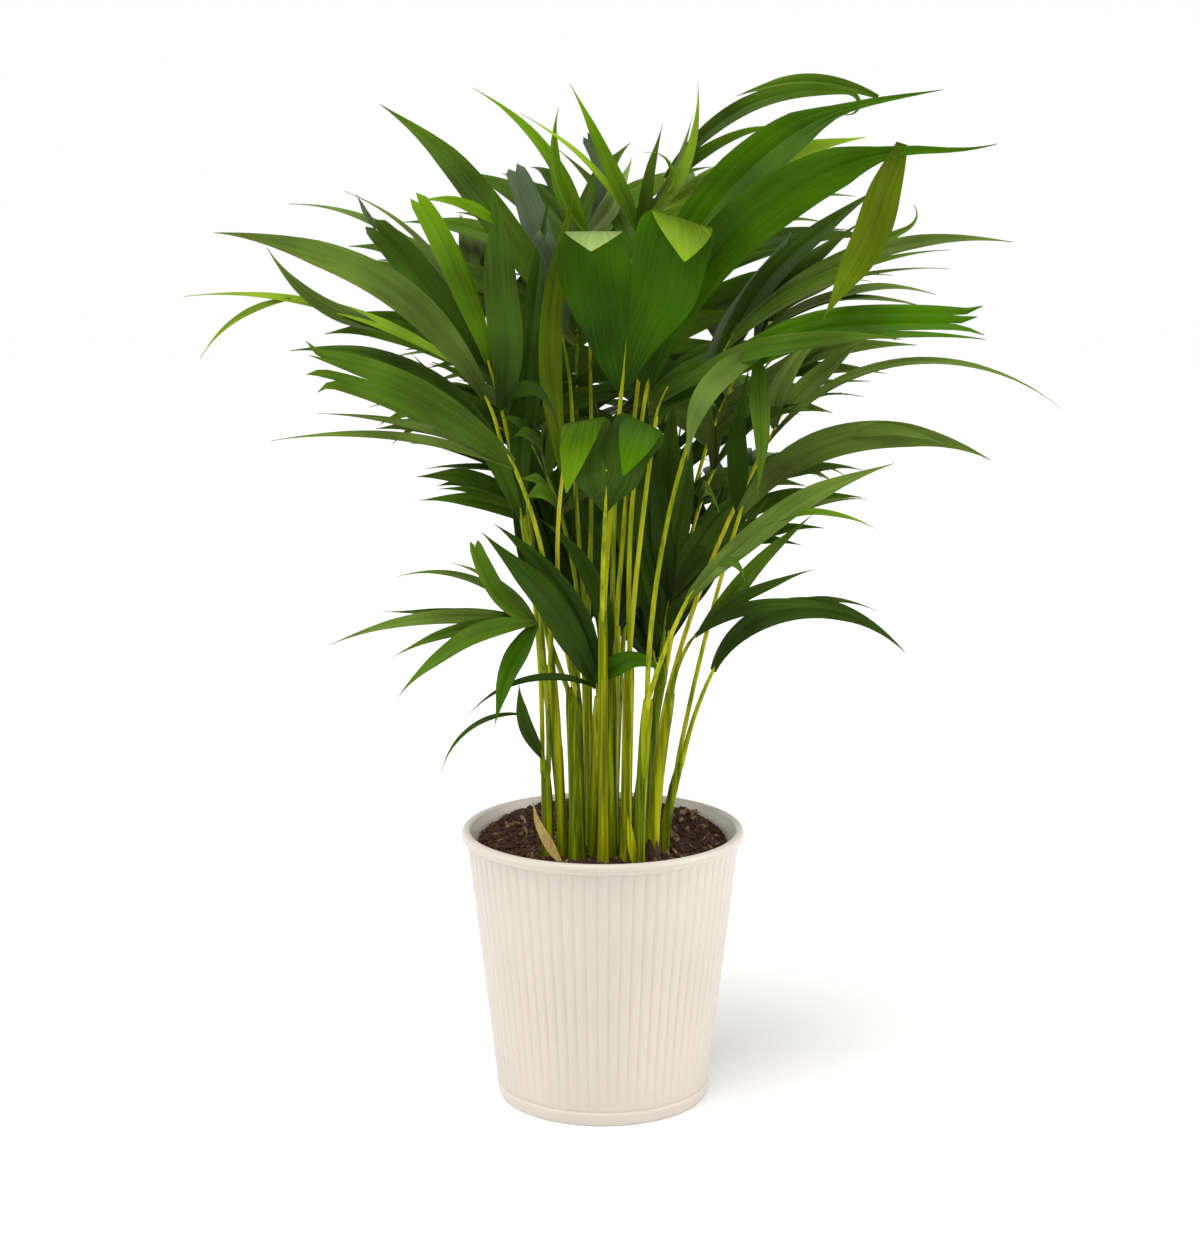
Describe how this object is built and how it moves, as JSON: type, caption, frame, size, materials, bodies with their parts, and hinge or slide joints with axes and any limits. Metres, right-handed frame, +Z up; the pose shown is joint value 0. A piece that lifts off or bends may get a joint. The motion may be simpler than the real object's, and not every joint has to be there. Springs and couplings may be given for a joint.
{
  "type": "potted areca palm",
  "caption": "Young clump-forming areca palm with slim green canes and arching feathery fronds, rooted in dark soil in a tapered, finely fluted off-white pot with a rolled rim.",
  "frame": {"origin": "centre of the pot's flat underside", "axes": "+Z up; -Y is the side of the plant that the picture shows, and +X is to the right seen from there"},
  "size_m": [0.5675, 0.4392, 0.6904],
  "materials": {
    "pot": "warm off-white satin, moulded with fine vertical flutes",
    "soil": "dark brown crumbly potting soil",
    "cane": "smooth yellow-green stem with darker streaks",
    "frond": "living leaf, satin, dark to bright green",
    "husk": "dry tan scale leaf"
  },
  "bodies": {
    "root": {"cane_back_far": "cane", "cane_back_left": "cane", "cane_back_low": "cane", "cane_back_middle": "cane", "cane_back_right": "cane", "cane_front": "cane", "cane_heart": "cane", "cane_left_inner": "cane", "cane_left_outer": "cane", "cane_left_slim": "cane", "cane_left_thick": "cane", "cane_middle": "cane", "cane_middle_short": "cane", "cane_middle_thick": "cane", "cane_right_brown": "cane", "cane_right_front": "cane", "cane_right_outer": "cane", "frond_back_far": "frond", "frond_back_high": "frond", "frond_back_left": "frond", "frond_back_left_low": "frond", "frond_back_low": "frond", "frond_back_middle": "frond", "frond_back_right": "frond", "frond_back_right_low": "frond", "frond_back_tall": "frond", "frond_core_left": "frond", "frond_core_low": "frond", "frond_core_middle": "frond", "frond_core_right": "frond", "frond_dark_left": "frond", "frond_heart": "frond", "frond_left_broad": "frond", "frond_left_low": "frond", "frond_left_tall": "frond", "frond_left_upper": "frond", "frond_low_folded": "frond", "frond_low_left": "frond", "frond_low_split": "frond", "frond_low_strap": "frond", "frond_right_arch": "frond", "frond_right_fan": "frond", "frond_right_fan_top": "frond", "frond_right_level": "frond", "frond_right_long": "frond", "frond_right_low": "frond", "frond_right_mid": "frond", "frond_right_upper": "frond", "frond_side_left": "frond", "frond_side_right": "frond", "frond_top_left": "frond", "frond_top_right": "frond", "frond_two_lobed": "frond", "frond_yellow": "frond", "husk": "husk", "pot": "pot", "soil": "soil"}
  },
  "joints": []
}
